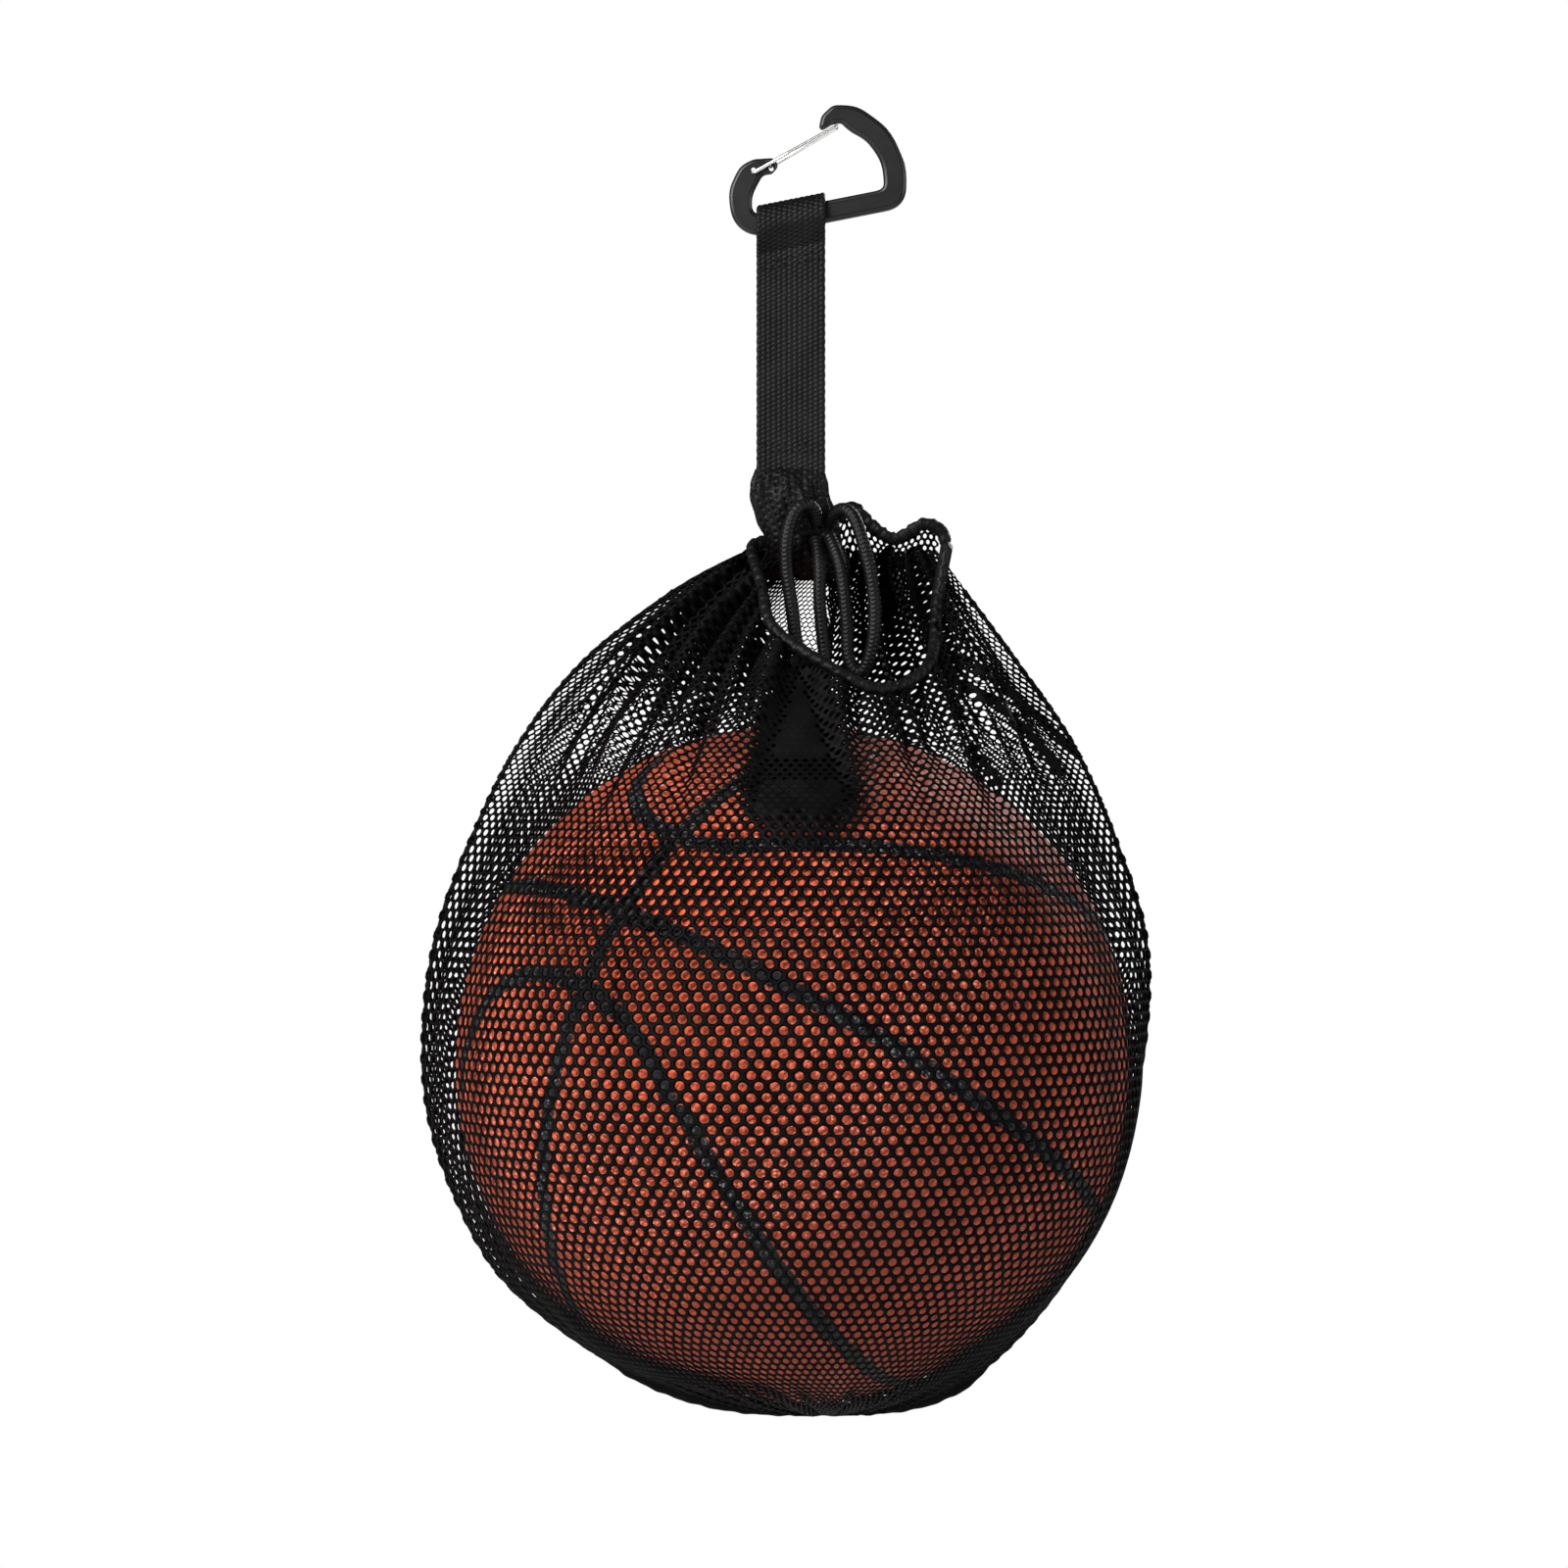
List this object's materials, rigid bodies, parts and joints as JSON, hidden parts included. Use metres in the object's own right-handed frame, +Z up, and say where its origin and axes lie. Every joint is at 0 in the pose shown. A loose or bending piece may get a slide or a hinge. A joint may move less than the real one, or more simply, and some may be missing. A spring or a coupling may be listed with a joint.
{
  "type": "mesh ball bag",
  "caption": "Drawstring net bag for one ball, hung by a doubled webbing strap from a wire-gate carabiner.",
  "frame": {"origin": "the hanging point: the inner wall under the carabiner's crown, in the bag's middle plane", "axes": "+Z up, +X to the viewer's right with the bag's front towards the viewer, -Y towards the viewer"},
  "size_m": [0.2586, 0.2476, 0.4676],
  "materials": {
    "carabiner_black": "satin black powder coat on forged aluminium",
    "gate_steel": "polished stainless spring wire",
    "webbing_black": "coarse woven polyester webbing",
    "thread_black": "bonded polyester thread",
    "net_black": "warp-knitted polyester mesh with round holes",
    "tape_black": "smooth woven binding tape",
    "cord_black": "braided polyester drawcord"
  },
  "bodies": {
    "carabiner": {"carabiner_body": "carabiner_black"},
    "gate": {"carabiner_gate": "gate_steel"},
    "loop": {"strap_loop": "webbing_black"},
    "strap": {"strap_front_ply": "webbing_black", "strap_back_ply": "webbing_black", "strap_head_stitching": "thread_black", "strap_foot_stitching": "thread_black"},
    "bag": {"neck_gather": "net_black", "net_front_panel": "net_black", "net_back_panel": "net_black", "side_seam_left": "tape_black", "side_seam_right": "tape_black", "bottom_binding": "tape_black", "hem_channel_front": "tape_black", "hem_channel_back": "tape_black", "drawcord_front_run": "cord_black", "drawcord_back_run": "cord_black", "ruffle_back": "net_black", "drawcord_loop_left": "cord_black", "drawcord_loop_right": "cord_black"}
  },
  "joints": [
    {"name": "gate_hinge", "type": "hinge", "parent": "carabiner", "child": "gate", "pos_m": [-0.0287, 0, -0.0147], "axis": [0, 1, 0], "range_deg": [0, 28], "stiffness_Nm_per_rad": 0.12, "springref_deg": -14.32},
    {"name": "strap_slide", "type": "slide", "parent": "carabiner", "child": "loop", "axis": [0.981, 0, 0.1942], "range_m": [0, 0.018]},
    {"name": "strap_swing", "type": "hinge", "parent": "loop", "child": "strap", "pos_m": [-0.01855, 0, -0.0324], "axis": [0.981, 0, 0.1942], "range_deg": [-75, 75]},
    {"name": "bag_twist", "type": "hinge", "parent": "strap", "child": "bag", "pos_m": [-0.01855, 0, -0.124], "axis": [0, 0, 1], "range_deg": [-120, 120]}
  ]
}
